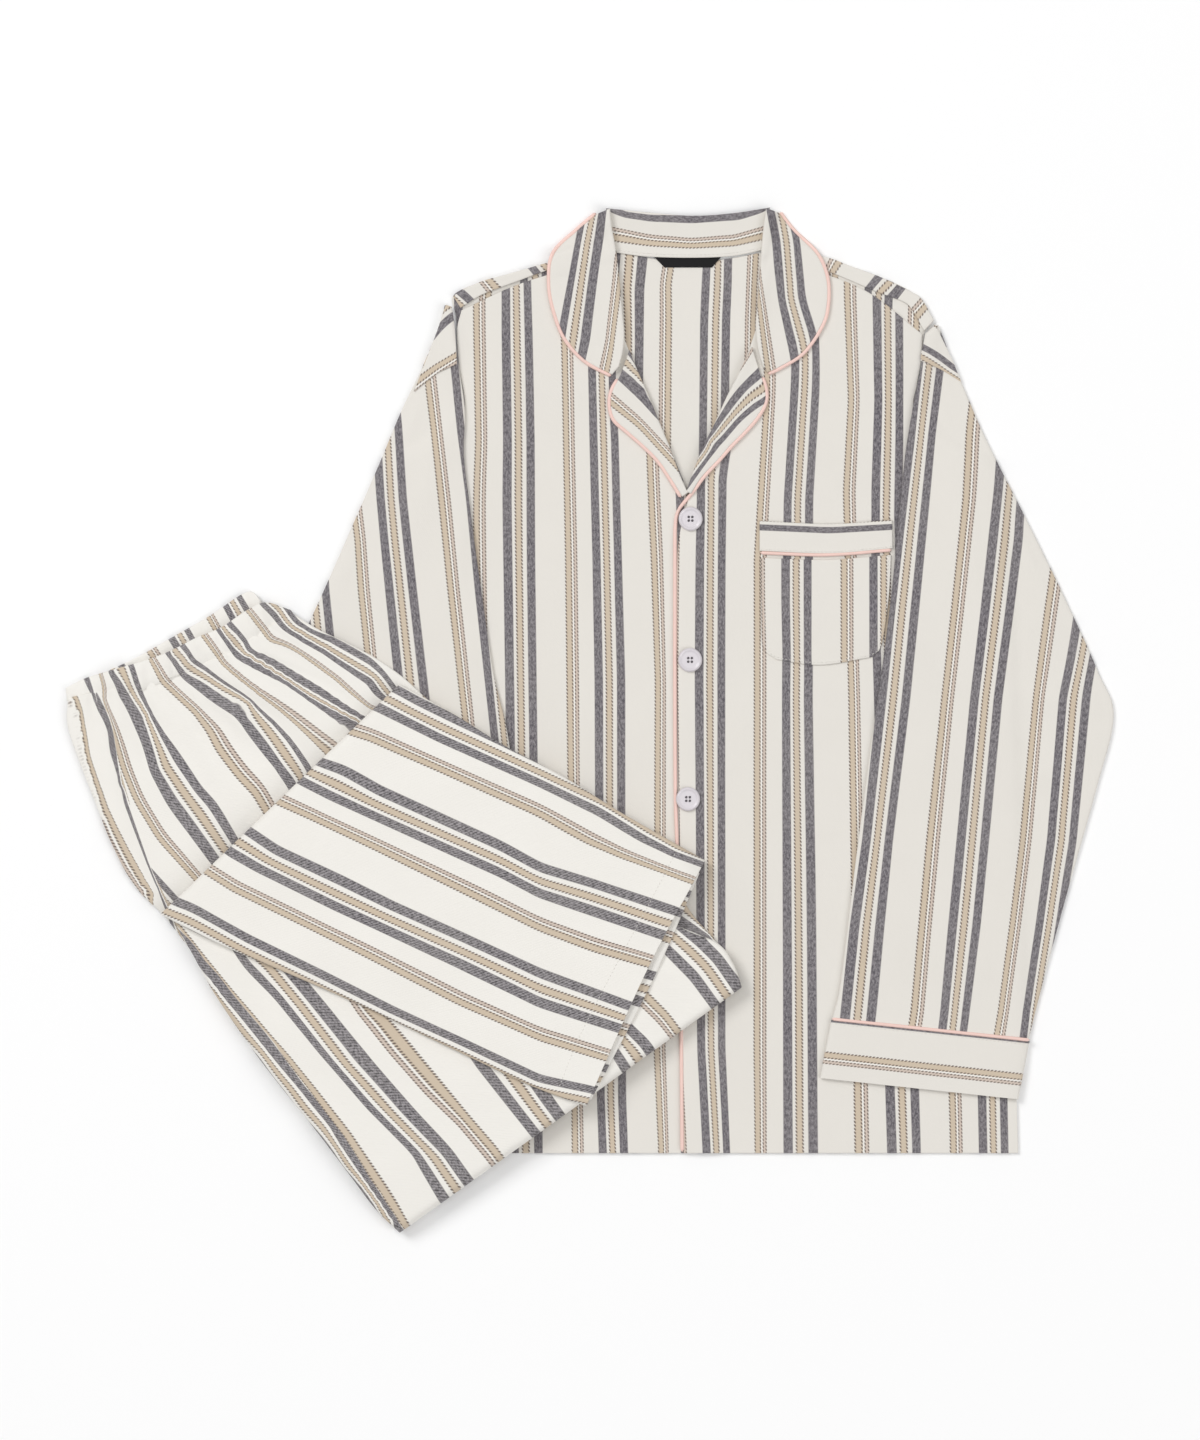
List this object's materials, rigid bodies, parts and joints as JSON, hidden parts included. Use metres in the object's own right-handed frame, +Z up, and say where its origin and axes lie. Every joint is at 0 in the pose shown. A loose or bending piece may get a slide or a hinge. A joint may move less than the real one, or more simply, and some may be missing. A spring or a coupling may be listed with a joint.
{
  "type": "pyjama set",
  "caption": "Striped pyjama top laid flat with its sleeves beside it, and the matching trousers folded over its lower corner.",
  "frame": {"origin": "under the middle of the set's box, on the surface that it lies on", "axes": "+Z up from the surface, +Y towards the top's collar, +X to the right as the set is seen from above"},
  "size_m": [0.7844, 0.7676, 0.0248],
  "materials": {
    "cloth": "brushed, matt",
    "trouser_cloth": "twill, matt",
    "piping": "satin",
    "button": "gloss",
    "label": "satin"
  },
  "bodies": {
    "root": {"top_back": "cloth", "top_front_left": "cloth", "top_front_right": "cloth", "sleeve_left": "cloth", "sleeve_right": "cloth", "cuff_left": "cloth", "cuff_right": "cloth", "piping_cuff_left": "piping", "piping_cuff_right": "piping", "collar": "cloth", "piping_collar_left": "piping", "piping_collar_right": "piping", "lapel_left": "cloth", "lapel_right": "cloth", "piping_front_left": "piping", "piping_front_right": "piping", "pocket": "cloth", "pocket_band": "cloth", "piping_pocket": "piping", "neck_label": "label", "button_1": "button", "button_2": "button", "button_3": "button", "button_4": "button", "waistband_back": "trouser_cloth", "waistband_front": "trouser_cloth", "trouser_back_edge": "trouser_cloth", "trouser_front": "trouser_cloth", "far_leg_turned": "trouser_cloth", "near_leg_lower": "trouser_cloth", "trouser_hidden_layers": "trouser_cloth", "far_leg_hem": "trouser_cloth"}
  },
  "joints": []
}
